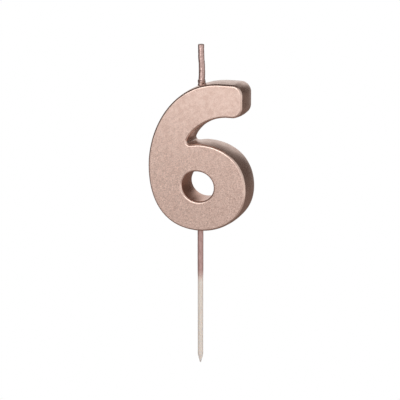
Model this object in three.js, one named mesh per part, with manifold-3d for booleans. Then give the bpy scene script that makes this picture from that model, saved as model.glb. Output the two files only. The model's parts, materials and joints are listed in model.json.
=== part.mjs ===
// A number birthday candle: a cast wax "6" with a metallic lacquer skin, a coated cotton wick
// that stands out of its top, and a pointed pick that holds it in a cake.
//
// Millimetres, +Z up. X runs to the right along the numeral and the front faces -Y.
// The origin is on the pick's axis where the cake's surface comes, at the end of the lacquer.

import * as THREE from 'three';
import { mergeVertices } from 'three/addons/utils/BufferGeometryUtils.js';
import Module from 'manifold-3d';

const wasm = await Module();
wasm.setup();

// ---------------------------------------------------------------- driving dimensions

// Numeral
const HEIGHT = 70.7;
const WIDTH = 48.9;
const THICKNESS = 14;
const NUMERAL_SHIFT = 0.4; // its middle lies this far to the right of the pick's axis
const ARM_STROKE = 16; // height of the arm at its free end
const ARM_SETBACK = 1.9; // from the arm's end to the numeral's right-hand edge
const ARM_CORNER = 5.8; // radius of the arm's two corners
const ARM_FLAT = 5; // straight length on top, before the corner
const UNDERSIDE_FLAT = 1.7; // straight length under the arm, before the corner
const BOWL_HEIGHT = 42.2;
const BOWL_TOP_X = 26; // from the left-hand edge to the bowl's highest point
const STEM_STROKE = 20; // from the left-hand edge to the bottom of the notch
const NOTCH_RADIUS = 1.1;
const NOTCH_DROP = 0.6; // the notch's floor lies this far below the bowl's top
const NOTCH_FLOOR_SLOPE = 4; // degrees
const NOTCH_WALL_SLOPE = 66; // degrees
const LEFT_STROKE = 17.6; // from the left-hand edge to the counter
const BASE_STROKE = 14.8; // from the base to the counter
const COUNTER_WIDTH = 15;
const COUNTER_HEIGHT = 13.6;
const EDGE_WIDTH = 1.4; // rounded edge, across the face
const EDGE_DEPTH = 1.3; // rounded edge, into the thickness

// Where the outline is furthest left and right, as a share of the height,
// and furthest down, as a share of the width
const WAIST_LEVEL = 0.418;
const BELLY_LEVEL = 0.299;
const BASE_LEVEL = 0.511;

// Fullness of each sweep: how far its two handles reach towards the corner they round
const SHOULDER = [0.64, 0.46];
const HIP = [0.63, 0.64];
const BELLY = [0.48, 0.67];
const BOWL = [0.65, 0.56];
const CORNER = [0.55, 0.55];
const UNDERSIDE = [0.3, 0.32];

// Lacquer skin
const SKIN = 0.3;
const SKIN_GAP = 0.1;

// Wick
const WICK_X = 0.6;
const WICK_EXPOSED = 18.6; // from the numeral to the cut end
const WICK_END_COVER = 6; // wax between the wick's buried end and the numeral's base
const BEND_RELIEF = 0.8; // from the collar's rim up to where the wick bends
const PLY_FOOT = 0.4; // from where the wick bends up to the foot of the plies
const PLY_DIAMETER = 0.9;
const PLY_COUNT = 3;
const PLY_PITCH = 9;
const PLY_GAP = 0.14;
const WICK_COAT = 0.35;
const FIT_GAP = 0.1; // between the wick's pieces and what they lie in
const COLLAR_WALL = 0.3;
const COLLAR_HEIGHT = 2.3;
const COLLAR_SEAT = 1; // how deep the collar is set in the wax

// The wick's route inside the numeral
const ROUTE_STRAIGHT = 1; // straight down, below the collar's foot
const ROUTE_LEAN = 1.5; // then this far to the left
const ROUTE_LEAN_DEPTH = 6; // at this depth below the collar's foot
const ROUTE_MIDWAY = 0.55; // midway to the stem at this share of the way down to the notch
const ROUTE_COUNTER_SHIFT = 0.6; // to the right of the left stroke's middle, beside the counter
const ROUTE_TURN_ACROSS = 0.72; // turns under the counter at this share of the left stroke
const ROUTE_TURN_UP = 0.62; // and at this share of the base stroke
const ROUTE_END_ACROSS = 0.9; // ends at this share of the left stroke

// Pick
const PICK_DIAMETER = 2.6;
const PICK_BARE = 44.5; // from the lacquer's end to the point
const PICK_LACQUERED = 23.2; // from the lacquer's end to the numeral's base
const PICK_COVER = 3; // wax between the pick's buried end and the counter
const PICK_POINT = 4.2;
const PICK_POINT_FLAT = 0.5; // diameter of the blunt point
const PICK_TOP_CHAMFER = 0.4;
const PICK_FIT = 0.06; // all round the pick in its socket
const PICK_END_GAP = 0.3; // between the pick's top and the end of its socket
const PICK_SKIN = 0.08;
const PICK_SKIN_GAP = 0.02;
const ENTRY_FLARE = 0.6; // how far the lacquer spreads round the pick at the wax
const ENTRY_LENGTH = 0.9; // height of the flare
const ENTRY_GAP = 0.12;

// Facets
const SWEEP_STEPS = 10;
const COUNTER_SIDES = 36;
const OUTER_EDGE_STEPS = 3;
const INNER_EDGE_STEPS = 2;
const ROUND_SIDES = 20;
const ROUTE_SIDES = 8;
const ROUTE_STEPS = 24;
const PLY_SIDES = 8;
const PLY_STEPS = 10; // a turn
const BALL_STEPS = 5;
const FLARE_STEPS = 3;
const CUT_MARGIN = 2; // how far a cutter runs past what it cuts

// ---------------------------------------------------------------- places that follow

const left = NUMERAL_SHIFT - WIDTH / 2;
const right = NUMERAL_SHIFT + WIDTH / 2;
const base = PICK_LACQUERED;
const top = base + HEIGHT;
const counterX = left + LEFT_STROKE + COUNTER_WIDTH / 2;
const counterZ = base + BASE_STROKE + COUNTER_HEIGHT / 2;
const plyCentreRadius = (PLY_DIAMETER + PLY_GAP) / (2 * Math.sin(Math.PI / PLY_COUNT));
const coreRadius = plyCentreRadius + PLY_DIAMETER / 2;
const channelRadius = coreRadius + FIT_GAP;
const wickRadius = channelRadius + WICK_COAT;
const cupRadius = wickRadius + FIT_GAP;
const collarRadius = cupRadius + COLLAR_WALL;
const pickRadius = PICK_DIAMETER / 2;
const socketRadius = pickRadius + PICK_FIT;
const socketEnd = base + BASE_STROKE - PICK_COVER;

// ---------------------------------------------------------------- solids by boolean

function toSolid(geometry) {
  const bare = geometry.clone();
  bare.deleteAttribute('normal');
  bare.deleteAttribute('uv');
  const merged = mergeVertices(bare);
  const mesh = new wasm.Mesh({
    numProp: 3,
    vertProperties: merged.getAttribute('position').array,
    triVerts: new Uint32Array(merged.getIndex().array),
  });
  return new wasm.Manifold(mesh);
}

function cut(geometry, ...cutters) {
  let solid = toSolid(geometry);
  for (const cutter of cutters) {
    solid = solid.subtract(toSolid(cutter));
  }
  const mesh = solid.getMesh();
  const result = new THREE.BufferGeometry();
  result.setAttribute('position', new THREE.BufferAttribute(mesh.vertProperties, 3));
  result.setIndex(new THREE.BufferAttribute(mesh.triVerts, 1));
  result.computeVertexNormals();
  return result;
}

// ---------------------------------------------------------------- numeral

// From one extreme to the next, leaving the first along X when leavesAlongX is true, else along Z
function sweep(shape, fromX, fromZ, toX, toZ, fullness, leavesAlongX) {
  const [start, end] = fullness;
  const dx = toX - fromX;
  const dz = toZ - fromZ;
  if (leavesAlongX) {
    shape.bezierCurveTo(fromX + start * dx, fromZ, toX, toZ - end * dz, toX, toZ);
  } else {
    shape.bezierCurveTo(fromX, fromZ + start * dz, toX - end * dx, toZ, toX, toZ);
  }
}

function numeralShape() {
  const armEnd = right - ARM_SETBACK;
  const underside = top - ARM_STROKE;
  const topX = armEnd - ARM_CORNER - ARM_FLAT;
  const undersideX = armEnd - ARM_CORNER - UNDERSIDE_FLAT;
  const waistZ = base + WAIST_LEVEL * HEIGHT;
  const bellyZ = base + BELLY_LEVEL * HEIGHT;
  const baseX = left + BASE_LEVEL * WIDTH;
  const bowlX = left + BOWL_TOP_X;
  const bowlZ = base + BOWL_HEIGHT;

  const notchX = left + STEM_STROKE + NOTCH_RADIUS;
  const notchZ = bowlZ - NOTCH_DROP + NOTCH_RADIUS;
  const floorAngle = THREE.MathUtils.degToRad(NOTCH_FLOOR_SLOPE - 90);
  const wallAngle = THREE.MathUtils.degToRad(NOTCH_WALL_SLOPE + 90);
  const floorX = notchX + NOTCH_RADIUS * Math.cos(floorAngle);
  const floorZ = notchZ + NOTCH_RADIUS * Math.sin(floorAngle);
  const wallX = notchX + NOTCH_RADIUS * Math.cos(wallAngle);
  const wallZ = notchZ + NOTCH_RADIUS * Math.sin(wallAngle);
  const lipReach = (bowlX - floorX) / 3;
  const floorSlope = THREE.MathUtils.degToRad(NOTCH_FLOOR_SLOPE);
  const wallSlope = THREE.MathUtils.degToRad(NOTCH_WALL_SLOPE);
  const span = Math.hypot(undersideX - wallX, underside - wallZ);

  const shape = new THREE.Shape();
  shape.moveTo(armEnd - ARM_CORNER, underside);
  sweep(shape, armEnd - ARM_CORNER, underside, armEnd, underside + ARM_CORNER, CORNER, true);
  shape.lineTo(armEnd, top - ARM_CORNER);
  sweep(shape, armEnd, top - ARM_CORNER, armEnd - ARM_CORNER, top, CORNER, false);
  shape.lineTo(topX, top);
  sweep(shape, topX, top, left, waistZ, SHOULDER, true);
  sweep(shape, left, waistZ, baseX, base, HIP, false);
  sweep(shape, baseX, base, right, bellyZ, BELLY, true);
  sweep(shape, right, bellyZ, bowlX, bowlZ, BOWL, false);
  shape.bezierCurveTo(
    bowlX - lipReach, bowlZ,
    floorX + lipReach * Math.cos(floorSlope), floorZ + lipReach * Math.sin(floorSlope),
    floorX, floorZ,
  );
  shape.absarc(notchX, notchZ, NOTCH_RADIUS, floorAngle, wallAngle, true);
  shape.bezierCurveTo(
    wallX + UNDERSIDE[0] * span * Math.cos(wallSlope), wallZ + UNDERSIDE[0] * span * Math.sin(wallSlope),
    undersideX - UNDERSIDE[1] * span, underside,
    undersideX, underside,
  );
  shape.closePath();

  shape.holes.push(counterPath());
  return shape;
}

// The hole in the bowl
function counterPath() {
  const points = [];
  for (let i = 0; i < COUNTER_SIDES; i += 1) {
    const angle = (-2 * Math.PI * i) / COUNTER_SIDES;
    const x = counterX + (COUNTER_WIDTH / 2) * Math.cos(angle);
    const z = counterZ + (COUNTER_HEIGHT / 2) * Math.sin(angle);
    points.push(new THREE.Vector2(x, z));
  }
  return new THREE.Path(points);
}

// The numeral as a solid with rounded edges, drawn in by inset on every side
function numeralGeometry(inset, edgeSteps) {
  const straight = THICKNESS - 2 * inset - 2 * EDGE_DEPTH;
  const geometry = new THREE.ExtrudeGeometry(numeralShape(), {
    depth: straight,
    curveSegments: SWEEP_STEPS,
    bevelThickness: EDGE_DEPTH,
    bevelSize: EDGE_WIDTH,
    bevelOffset: -EDGE_WIDTH - inset,
    bevelSegments: edgeSteps,
  });
  geometry.rotateX(Math.PI / 2);
  geometry.translate(0, straight / 2, 0);
  return geometry;
}

// Height of the numeral's upper edge at a given X
function upperEdge(x) {
  const points = numeralShape().getPoints(SWEEP_STEPS);
  let highest = base;
  for (let i = 1; i < points.length; i += 1) {
    const a = points[i - 1];
    const b = points[i];
    if ((a.x - x) * (b.x - x) <= 0 && a.x !== b.x) {
      const z = a.y + ((x - a.x) / (b.x - a.x)) * (b.y - a.y);
      highest = Math.max(highest, z);
    }
  }
  return highest;
}

// ---------------------------------------------------------------- places round the wick

const wickFoot = upperEdge(WICK_X);
const collarFoot = upperEdge(WICK_X - collarRadius) - SKIN - SKIN_GAP - COLLAR_SEAT;
const collarRim = wickFoot + COLLAR_HEIGHT;
const bendZ = collarRim + BEND_RELIEF;
const wickTop = wickFoot + WICK_EXPOSED;
const coreTop = bendZ - wickRadius - FIT_GAP;

function rod(radius, fromZ, toZ, x) {
  const geometry = new THREE.CylinderGeometry(radius, radius, toZ - fromZ, ROUND_SIDES);
  geometry.rotateX(Math.PI / 2);
  geometry.translate(x, 0, (fromZ + toZ) / 2);
  return geometry;
}

function turned(profile, x) {
  const points = profile.map(([radius, z]) => new THREE.Vector2(radius, z));
  const geometry = new THREE.LatheGeometry(points, ROUND_SIDES);
  geometry.rotateX(Math.PI / 2);
  geometry.translate(x, 0, 0);
  return geometry;
}

// ---------------------------------------------------------------- wick

// The wick's route: straight down out of the collar, then along the middle of the arm and stem
function wickRoute(topZ) {
  const stemX = left + STEM_STROKE / 2;
  const notchTop = base + BOWL_HEIGHT;
  const points = [
    [WICK_X, topZ],
    [WICK_X, collarFoot - ROUTE_STRAIGHT],
    [WICK_X - ROUTE_LEAN, collarFoot - ROUTE_LEAN_DEPTH],
    [(WICK_X + stemX) / 2, THREE.MathUtils.lerp(wickFoot, notchTop, ROUTE_MIDWAY)],
    [stemX, notchTop],
    [left + LEFT_STROKE / 2, counterZ + COUNTER_HEIGHT / 2],
    [left + LEFT_STROKE / 2 + ROUTE_COUNTER_SHIFT, counterZ],
    [left + LEFT_STROKE * ROUTE_TURN_ACROSS, base + BASE_STROKE * ROUTE_TURN_UP + WICK_END_COVER / 2],
    [left + LEFT_STROKE * ROUTE_END_ACROSS, base + WICK_END_COVER],
  ];
  return new THREE.CatmullRomCurve3(points.map(([x, z]) => new THREE.Vector3(x, 0, z)));
}

function tubeAlong(curve, radius, sides, steps) {
  const section = new THREE.Shape();
  for (let i = 0; i < sides; i += 1) {
    const angle = (2 * Math.PI * i) / sides;
    const x = radius * Math.cos(angle);
    const y = radius * Math.sin(angle);
    if (i === 0) section.moveTo(x, y);
    else section.lineTo(x, y);
  }
  return new THREE.ExtrudeGeometry(section, { steps, extrudePath: curve, bevelEnabled: false });
}

class Helix extends THREE.Curve {
  constructor(radius, pitch, startAngle, fromZ, toZ) {
    super();
    this.radius = radius;
    this.pitch = pitch;
    this.startAngle = startAngle;
    this.fromZ = fromZ;
    this.toZ = toZ;
  }

  getPoint(t, target = new THREE.Vector3()) {
    const rise = t * (this.toZ - this.fromZ);
    const angle = this.startAngle + (2 * Math.PI * rise) / this.pitch;
    const x = this.radius * Math.cos(angle);
    const y = this.radius * Math.sin(angle);
    return target.set(WICK_X + x, y, this.fromZ + rise);
  }
}

function plyGeometry(index) {
  const startAngle = (2 * Math.PI * index) / PLY_COUNT;
  const fromZ = bendZ + PLY_FOOT;
  const helix = new Helix(plyCentreRadius, PLY_PITCH, startAngle, fromZ, wickTop - FIT_GAP);
  const steps = Math.ceil((PLY_STEPS * (wickTop - fromZ)) / PLY_PITCH);
  return tubeAlong(helix, PLY_DIAMETER / 2, PLY_SIDES, steps);
}

// The coat is a sleeve with a ball foot, so that it turns in the collar where the wick bends
function wickCoatGeometry() {
  const profile = [];
  for (let i = 0; i <= BALL_STEPS; i += 1) {
    const angle = (Math.PI / 2) * (i / BALL_STEPS);
    profile.push([wickRadius * Math.sin(angle), bendZ - wickRadius * Math.cos(angle)]);
  }
  const floor = bendZ + FIT_GAP;
  profile.push([wickRadius, wickTop], [channelRadius, wickTop], [channelRadius, floor], [0, floor]);
  return turned(profile, WICK_X);
}

function wickCollarGeometry() {
  const foot = collarFoot + FIT_GAP;
  const cupFloor = bendZ - cupRadius;
  return turned([
    [channelRadius, foot],
    [collarRadius, foot],
    [collarRadius, collarRim],
    [cupRadius, collarRim],
    [cupRadius, cupFloor],
    [channelRadius, cupFloor],
    [channelRadius, foot],
  ], WICK_X);
}

// ---------------------------------------------------------------- pick

function pickGeometry() {
  const topZ = socketEnd - PICK_END_GAP;
  return turned([
    [0, -PICK_BARE],
    [PICK_POINT_FLAT / 2, -PICK_BARE],
    [pickRadius, -PICK_BARE + PICK_POINT],
    [pickRadius, topZ - PICK_TOP_CHAMFER],
    [pickRadius - PICK_TOP_CHAMFER, topZ],
    [0, topZ],
  ], 0);
}

function pickCoatGeometry() {
  const inner = pickRadius + PICK_SKIN_GAP;
  const outer = inner + PICK_SKIN;
  const topZ = base - ENTRY_GAP;
  const profile = [[inner, 0], [outer, 0]];
  for (let i = 0; i <= FLARE_STEPS; i += 1) {
    const share = i / FLARE_STEPS;
    profile.push([outer + ENTRY_FLARE * share ** 2, topZ - ENTRY_LENGTH * (1 - share)]);
  }
  profile.push([inner, topZ], [inner, 0]);
  return turned(profile, 0);
}

// ---------------------------------------------------------------- assembly

const collarSeat = rod(collarRadius + FIT_GAP, collarFoot, top + CUT_MARGIN, WICK_X);
const pickSocket = rod(socketRadius, base - CUT_MARGIN, socketEnd, 0);
const wickChannel = tubeAlong(wickRoute(wickFoot + CUT_MARGIN), channelRadius, ROUTE_SIDES, ROUTE_STEPS);
const wickEnd = wickRoute(wickFoot + CUT_MARGIN).getPoint(1);
const wickEndPocket = new THREE.SphereGeometry(channelRadius + FIT_GAP, ROUND_SIDES, ROUND_SIDES / 2);
wickEndPocket.translate(wickEnd.x, wickEnd.y, wickEnd.z);

function waxBodyGeometry() {
  const numeral = numeralGeometry(SKIN + SKIN_GAP, INNER_EDGE_STEPS);
  return cut(numeral, collarSeat, wickChannel, wickEndPocket, pickSocket);
}

function lacquerCoatGeometry() {
  const outside = numeralGeometry(0, OUTER_EDGE_STEPS);
  const hollow = numeralGeometry(SKIN, INNER_EDGE_STEPS);
  return cut(outside, hollow, collarSeat, pickSocket);
}

function wickCoreGeometry() {
  const route = wickRoute(wickFoot + CUT_MARGIN);
  const whole = tubeAlong(route, coreRadius, ROUTE_SIDES, ROUTE_STEPS);
  const above = rod(collarRadius, coreTop, top + HEIGHT, WICK_X);
  return cut(whole, above);
}

const waxMaterial = { color: 0xf1e6d6, roughness: 0.55, metalness: 0 };
const lacquerMaterial = { color: 0xcfa896, roughness: 0.38, metalness: 0.85 };
const cottonMaterial = { color: 0xefe9df, roughness: 0.95, metalness: 0 };
const pickMaterial = { color: 0xe0d2c4, roughness: 0.45, metalness: 0 };

const candle = new THREE.Group();

function addPiece(name, geometry, look) {
  const mesh = new THREE.Mesh(geometry, new THREE.MeshStandardMaterial(look));
  mesh.name = name;
  candle.add(mesh);
}

addPiece('wax_body', waxBodyGeometry(), waxMaterial);
addPiece('lacquer_coat', lacquerCoatGeometry(), lacquerMaterial);
addPiece('wick_core', wickCoreGeometry(), cottonMaterial);
addPiece('wick_collar', wickCollarGeometry(), lacquerMaterial);
for (let i = 0; i < PLY_COUNT; i += 1) {
  addPiece(`wick_ply_${i + 1}`, plyGeometry(i), cottonMaterial);
}
addPiece('wick_coat', wickCoatGeometry(), lacquerMaterial);
addPiece('pick', pickGeometry(), pickMaterial);
addPiece('pick_coat', pickCoatGeometry(), lacquerMaterial);

export default candle;
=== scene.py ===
"""Looks of a number birthday candle: a lacquered wax "6" on a pointed pick, with a coated wick."""

import json
import math

import bmesh
import bpy
import numpy as np
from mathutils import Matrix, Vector, noise
from mathutils.geometry import delaunay_2d_cdt


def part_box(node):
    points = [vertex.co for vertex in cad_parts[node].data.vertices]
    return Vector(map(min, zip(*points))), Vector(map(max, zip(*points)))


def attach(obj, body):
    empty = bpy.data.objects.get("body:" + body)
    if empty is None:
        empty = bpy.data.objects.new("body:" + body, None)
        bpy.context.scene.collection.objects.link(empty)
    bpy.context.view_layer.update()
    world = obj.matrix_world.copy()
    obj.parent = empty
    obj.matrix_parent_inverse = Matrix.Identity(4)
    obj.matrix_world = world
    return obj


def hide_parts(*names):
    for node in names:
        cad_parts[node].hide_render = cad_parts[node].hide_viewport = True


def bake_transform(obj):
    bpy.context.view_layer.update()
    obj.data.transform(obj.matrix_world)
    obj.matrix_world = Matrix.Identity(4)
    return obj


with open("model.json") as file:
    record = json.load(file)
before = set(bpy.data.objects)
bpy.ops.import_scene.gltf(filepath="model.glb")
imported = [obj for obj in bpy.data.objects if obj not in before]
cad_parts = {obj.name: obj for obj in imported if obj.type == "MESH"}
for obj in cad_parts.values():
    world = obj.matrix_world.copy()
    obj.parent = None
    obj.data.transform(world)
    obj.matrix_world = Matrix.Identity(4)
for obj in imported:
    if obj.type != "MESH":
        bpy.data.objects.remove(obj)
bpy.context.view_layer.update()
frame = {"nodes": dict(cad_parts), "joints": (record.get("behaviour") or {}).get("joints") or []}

MM = 0.001

# ---------------------------------------------------------------- sizes, in millimetres

# the arm: its thickness, how far its end stands back from the bowl's right side, and its corners
ARM_STROKE = 16
ARM_SETBACK = 1.9
ARM_CORNER = 5.2
ARM_FLAT = 5.6
UNDERSIDE_FLAT = 2.3

# the bowl, the stem and the hole, from the left side and the base
BOWL_HEIGHT = 42.2
BOWL_TOP_X = 26
STEM_STROKE = 20
LEFT_STROKE = 17.6
BASE_STROKE = 14.8
COUNTER_WIDTH = 15
COUNTER_HEIGHT = 13.6

# the notch where the arm meets the bowl
NOTCH_RADIUS = 1.1
NOTCH_DROP = 0.6
NOTCH_FLOOR_SLOPE = math.radians(4)
NOTCH_WALL_SLOPE = math.radians(66)

# where the outline is widest or lowest, as shares of the numeral's height or width
WAIST_LEVEL = 0.418
BELLY_LEVEL = 0.299
BASE_LEVEL = 0.511

# how far the two handles of each curve reach, as shares of the curve's own size
SHOULDER = (0.64, 0.46)
HIP = (0.63, 0.64)
BELLY = (0.48, 0.67)
BOWL = (0.65, 0.56)
CORNER = (0.55, 0.55)
UNDERSIDE = (0.3, 0.32)
LIP_PARTS = 3  # the lip's handles each reach one of this many equal parts
SWEEP_SAMPLES = 80

# the rounded edges, the swell of the walls at mid-thickness, and the skin
EDGE_WIDTH = 1.35
EDGE_DEPTH = 1.35
WALL_CROWN = 0.28
SKIN = 0.3
SKIN_GAP = 0.1

PLY_COUNT = 3
PLY_PITCH = 14
SOCKET_FIT = 0.06
SOCKET_END_GAP = 0.3
SEAT_FIT = 0.1


def box_mm(node):
    low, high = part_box(node)
    return np.array(low) / MM, np.array(high) / MM


SKIN_LOW, SKIN_HIGH = box_mm("lacquer_coat")
COAT_HIGH = box_mm("wick_coat")[1]
COLLAR_LOW, COLLAR_HIGH = box_mm("wick_collar")
PICK_LOW, PICK_HIGH = box_mm("pick")
SPRAY_LOW, SPRAY_HIGH = box_mm("pick_coat")
LEFT, RIGHT = SKIN_LOW[0], SKIN_HIGH[0]
BASE, TOP = SKIN_LOW[2], SKIN_HIGH[2]
HALF = SKIN_HIGH[1]
COUNTER_X = LEFT + LEFT_STROKE + COUNTER_WIDTH / 2
COUNTER_Z = BASE + BASE_STROKE + COUNTER_HEIGHT / 2
COLLAR_RADIUS = (COLLAR_HIGH[0] - COLLAR_LOW[0]) / 2
PICK_RADIUS = PICK_HIGH[0]
WICK_X = (COLLAR_LOW[0] + COLLAR_HIGH[0]) / 2
WICK_FOOT = COLLAR_HIGH[2]
WICK_TOP = COAT_HIGH[2]
JOINTS = {joint["name"]: joint for joint in frame["joints"]}
BEND_Z = JOINTS["wick_bend"]["pos_m"][2] / MM

# ---------------------------------------------------------------- mesh helpers


def show(name, mesh):
    """A new object in the scene."""
    piece = bpy.data.objects.new(name, mesh)
    bpy.context.scene.collection.objects.link(piece)
    return piece


def make_object(name, verts, faces, smooth=True):
    """A new object from points in millimetres."""
    mesh = bpy.data.meshes.new(name)
    mesh.from_pydata((np.asarray(verts) * MM).tolist(), [], faces)
    mesh.validate()
    if smooth:
        mesh.shade_smooth()
    return show(name, mesh)


SEED_STEP = (1, 1.7, 0.6)  # each seed moves the noise's origin along this line


def noise_at(point, size, seed=0.0):
    """Smooth noise from about -1 to 1, with features of the given size in millimetres."""
    return noise.noise(Vector(point) / size + Vector([seed * step for step in SEED_STEP]))


def noise_round(angle, z, radius, size, seed, stretch=1.0):
    """Noise round a tube at one height. A stretch below 1 draws it out along the tube."""
    places = [(math.cos(a) * radius, math.sin(a) * radius, z * stretch) for a in angle]
    return np.array([noise_at(place, size, seed) for place in places])


def around(sides):
    """Evenly spaced angles, once round."""
    return np.linspace(0, 2 * math.pi, sides, endpoint=False)


def ring(x, y, radius, z, angle):
    """Points round a centre. The radius and the height may differ from angle to angle."""
    return np.c_[x + radius * np.cos(angle), y + radius * np.sin(angle), np.full(len(angle), z)]


def grid_faces(rings, sides, start=0):
    """Quads between closed rings of the same number of points."""
    faces = []
    for level in range(rings - 1):
        for side in range(sides):
            following = (side + 1) % sides
            a = start + level * sides
            b = a + sides
            faces.append((a + side, a + following, b + following, b + side))
    return faces


def tube(name, rings):
    """A closed body from rings of equal length, ended by a point at each end."""
    sides = len(rings[0])
    verts = np.vstack(rings)
    faces = grid_faces(len(rings), sides)
    first = len(verts)
    verts = np.vstack([verts, np.mean(rings[0], axis=0), np.mean(rings[-1], axis=0)])
    last_ring = (len(rings) - 1) * sides
    for side in range(sides):
        following = (side + 1) % sides
        faces.append((first, following, side))
        faces.append((first + 1, last_ring + side, last_ring + following))
    return make_object(name, verts, faces)


def ring_body(name, rings):
    """A closed ring: the last ring of points joins the first."""
    sides = len(rings[0])
    faces = grid_faces(len(rings), sides)
    last = (len(rings) - 1) * sides
    for side in range(sides):
        following = (side + 1) % sides
        faces.append((last + side, last + following, following, side))
    return make_object(name, np.vstack(rings), faces)


def join(name, pieces):
    """One object from several, keeping every body."""
    verts = []
    faces = []
    start = 0
    for piece in pieces:
        count = len(piece.data.vertices)
        co = np.zeros(count * 3)
        piece.data.vertices.foreach_get("co", co)
        verts.append(co.reshape(-1, 3) / MM)
        faces += [tuple(start + v for v in polygon.vertices) for polygon in piece.data.polygons]
        start += count
        bpy.data.objects.remove(piece)
    return make_object(name, np.vstack(verts), faces)

# ---------------------------------------------------------------- the numeral's outline


def bezier(p0, p1, p2, p3):
    t = np.linspace(0, 1, SWEEP_SAMPLES, endpoint=False)[:, None]
    p0, p1, p2, p3 = (np.array(p, float) for p in (p0, p1, p2, p3))
    return (1 - t) ** 3 * p0 + 3 * (1 - t) ** 2 * t * p1 + 3 * (1 - t) * t**2 * p2 + t**3 * p3


def sweep(start, end, fullness, leaves_along_x):
    """A curve that leaves along one axis and arrives along the other."""
    (x0, z0), (x1, z1) = start, end
    first, second = fullness
    if leaves_along_x:
        return bezier(start, (x0 + first * (x1 - x0), z0), (x1, z1 - second * (z1 - z0)), end)
    return bezier(start, (x0, z0 + first * (z1 - z0)), (x1 - second * (x1 - x0), z1), end)


def line(start, end):
    t = np.linspace(0, 1, SWEEP_SAMPLES, endpoint=False)[:, None]
    return np.array(start) * (1 - t) + np.array(end) * t


def heading(angle):
    return np.array((math.cos(angle), math.sin(angle)))


def numeral_outline():
    """Points round the six, anticlockwise seen from the front."""
    height = TOP - BASE
    arm_end = RIGHT - ARM_SETBACK
    underside = TOP - ARM_STROKE
    corner_x = arm_end - ARM_CORNER
    crown = (corner_x - ARM_FLAT, TOP)
    under = (corner_x - UNDERSIDE_FLAT, underside)
    waist = (LEFT, BASE + WAIST_LEVEL * height)
    foot = (LEFT + BASE_LEVEL * (RIGHT - LEFT), BASE)
    belly = (RIGHT, BASE + BELLY_LEVEL * height)
    bowl = (LEFT + BOWL_TOP_X, BASE + BOWL_HEIGHT)
    centre = np.array((LEFT + STEM_STROKE + NOTCH_RADIUS, bowl[1] - NOTCH_DROP + NOTCH_RADIUS))
    floor_angle = NOTCH_FLOOR_SLOPE - math.pi / 2
    wall_angle = NOTCH_WALL_SLOPE + math.pi / 2 - 2 * math.pi
    angles = np.linspace(floor_angle, wall_angle, SWEEP_SAMPLES, endpoint=False)
    notch = centre + NOTCH_RADIUS * np.c_[np.cos(angles), np.sin(angles)]
    lip = notch[0]
    wall = centre + NOTCH_RADIUS * heading(wall_angle)
    lip_reach = (bowl[0] - lip[0]) / LIP_PARTS
    lip_handle = lip + lip_reach * heading(NOTCH_FLOOR_SLOPE)
    span = math.hypot(under[0] - wall[0], under[1] - wall[1])
    wall_handle = wall + UNDERSIDE[0] * span * heading(NOTCH_WALL_SLOPE)
    under_handle = (under[0] - UNDERSIDE[1] * span, underside)
    return np.vstack([
        sweep((corner_x, underside), (arm_end, underside + ARM_CORNER), CORNER, True),
        line((arm_end, underside + ARM_CORNER), (arm_end, TOP - ARM_CORNER)),
        sweep((arm_end, TOP - ARM_CORNER), (corner_x, TOP), CORNER, False),
        line((corner_x, TOP), crown),
        sweep(crown, waist, SHOULDER, True),
        sweep(waist, foot, HIP, False),
        sweep(foot, belly, BELLY, True),
        sweep(belly, bowl, BOWL, False),
        bezier(bowl, (bowl[0] - lip_reach, bowl[1]), lip_handle, lip),
        notch,
        bezier(wall, wall_handle, under_handle, under),
        line(under, (corner_x, underside)),
    ])


def counter_outline():
    """Points round the hole in the bowl, clockwise seen from the front."""
    angle = -around(4 * SWEEP_SAMPLES)
    xs = COUNTER_X + COUNTER_WIDTH / 2 * np.cos(angle)
    zs = COUNTER_Z + COUNTER_HEIGHT / 2 * np.sin(angle)
    return np.c_[xs, zs]


def evenly(points, spacing):
    """The same closed outline with evenly spaced points, and its outward normals."""
    closed = np.vstack([points, points[:1]])
    lengths = np.r_[0, np.cumsum(np.linalg.norm(np.diff(closed, axis=0), axis=1))]
    count = int(round(lengths[-1] / spacing))
    along = np.linspace(0, lengths[-1], count, endpoint=False)
    even = np.c_[np.interp(along, lengths, closed[:, 0]), np.interp(along, lengths, closed[:, 1])]
    ahead = np.roll(even, -1, axis=0) - np.roll(even, 1, axis=0)
    normals = np.c_[ahead[:, 1], -ahead[:, 0]]
    return even, normals / np.linalg.norm(normals, axis=1)[:, None]


LEVEL_RISE = 1e-9  # stands in for the rise of a level segment, which no point's row crosses


def inside(points, loops):
    """Whether each point lies inside the outer loop and outside the inner one."""
    crossings = np.zeros(len(points), int)
    x, z = points[:, 0:1], points[:, 1:2]
    for a in loops:
        b = np.roll(a, -1, axis=0)
        straddles = (a[:, 1] > z) != (b[:, 1] > z)
        rise = np.where(b[:, 1] == a[:, 1], LEVEL_RISE, b[:, 1] - a[:, 1])
        at_x = a[:, 0] + (z - a[:, 1]) * (b[:, 0] - a[:, 0]) / rise
        crossings += (straddles & (x < at_x)).sum(axis=1)
    return crossings % 2 == 1


# the points on the two flat faces: rows of near-equal triangles, each point moved a little at random
GRID_SEED = 6
ROW_RISE = 0.866
GRID_JITTER = 0.12
EDGE_CLEARANCE = 0.55


def cap_points(loops, spacing):
    """A jittered grid of points well inside the face."""
    low = loops[0].min(axis=0)
    high = loops[0].max(axis=0)
    random = np.random.default_rng(GRID_SEED)
    xs = np.arange(low[0], high[0], spacing)
    zs = np.arange(low[1], high[1], spacing * ROW_RISE)
    points = []
    for row, z in enumerate(zs):
        shift = spacing / 2 * (row % 2)
        points.append(np.c_[xs + shift, np.full(len(xs), z)])
    points = np.vstack(points)
    points += random.uniform(-GRID_JITTER, GRID_JITTER, points.shape) * spacing
    points = points[inside(points, loops)]
    edge = np.vstack(loops)
    nearest = np.array([np.min(np.hypot(*(edge - p).T)) for p in points])
    return points[nearest > spacing * EDGE_CLEARANCE]


MERGE_DISTANCE = 1e-6


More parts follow.
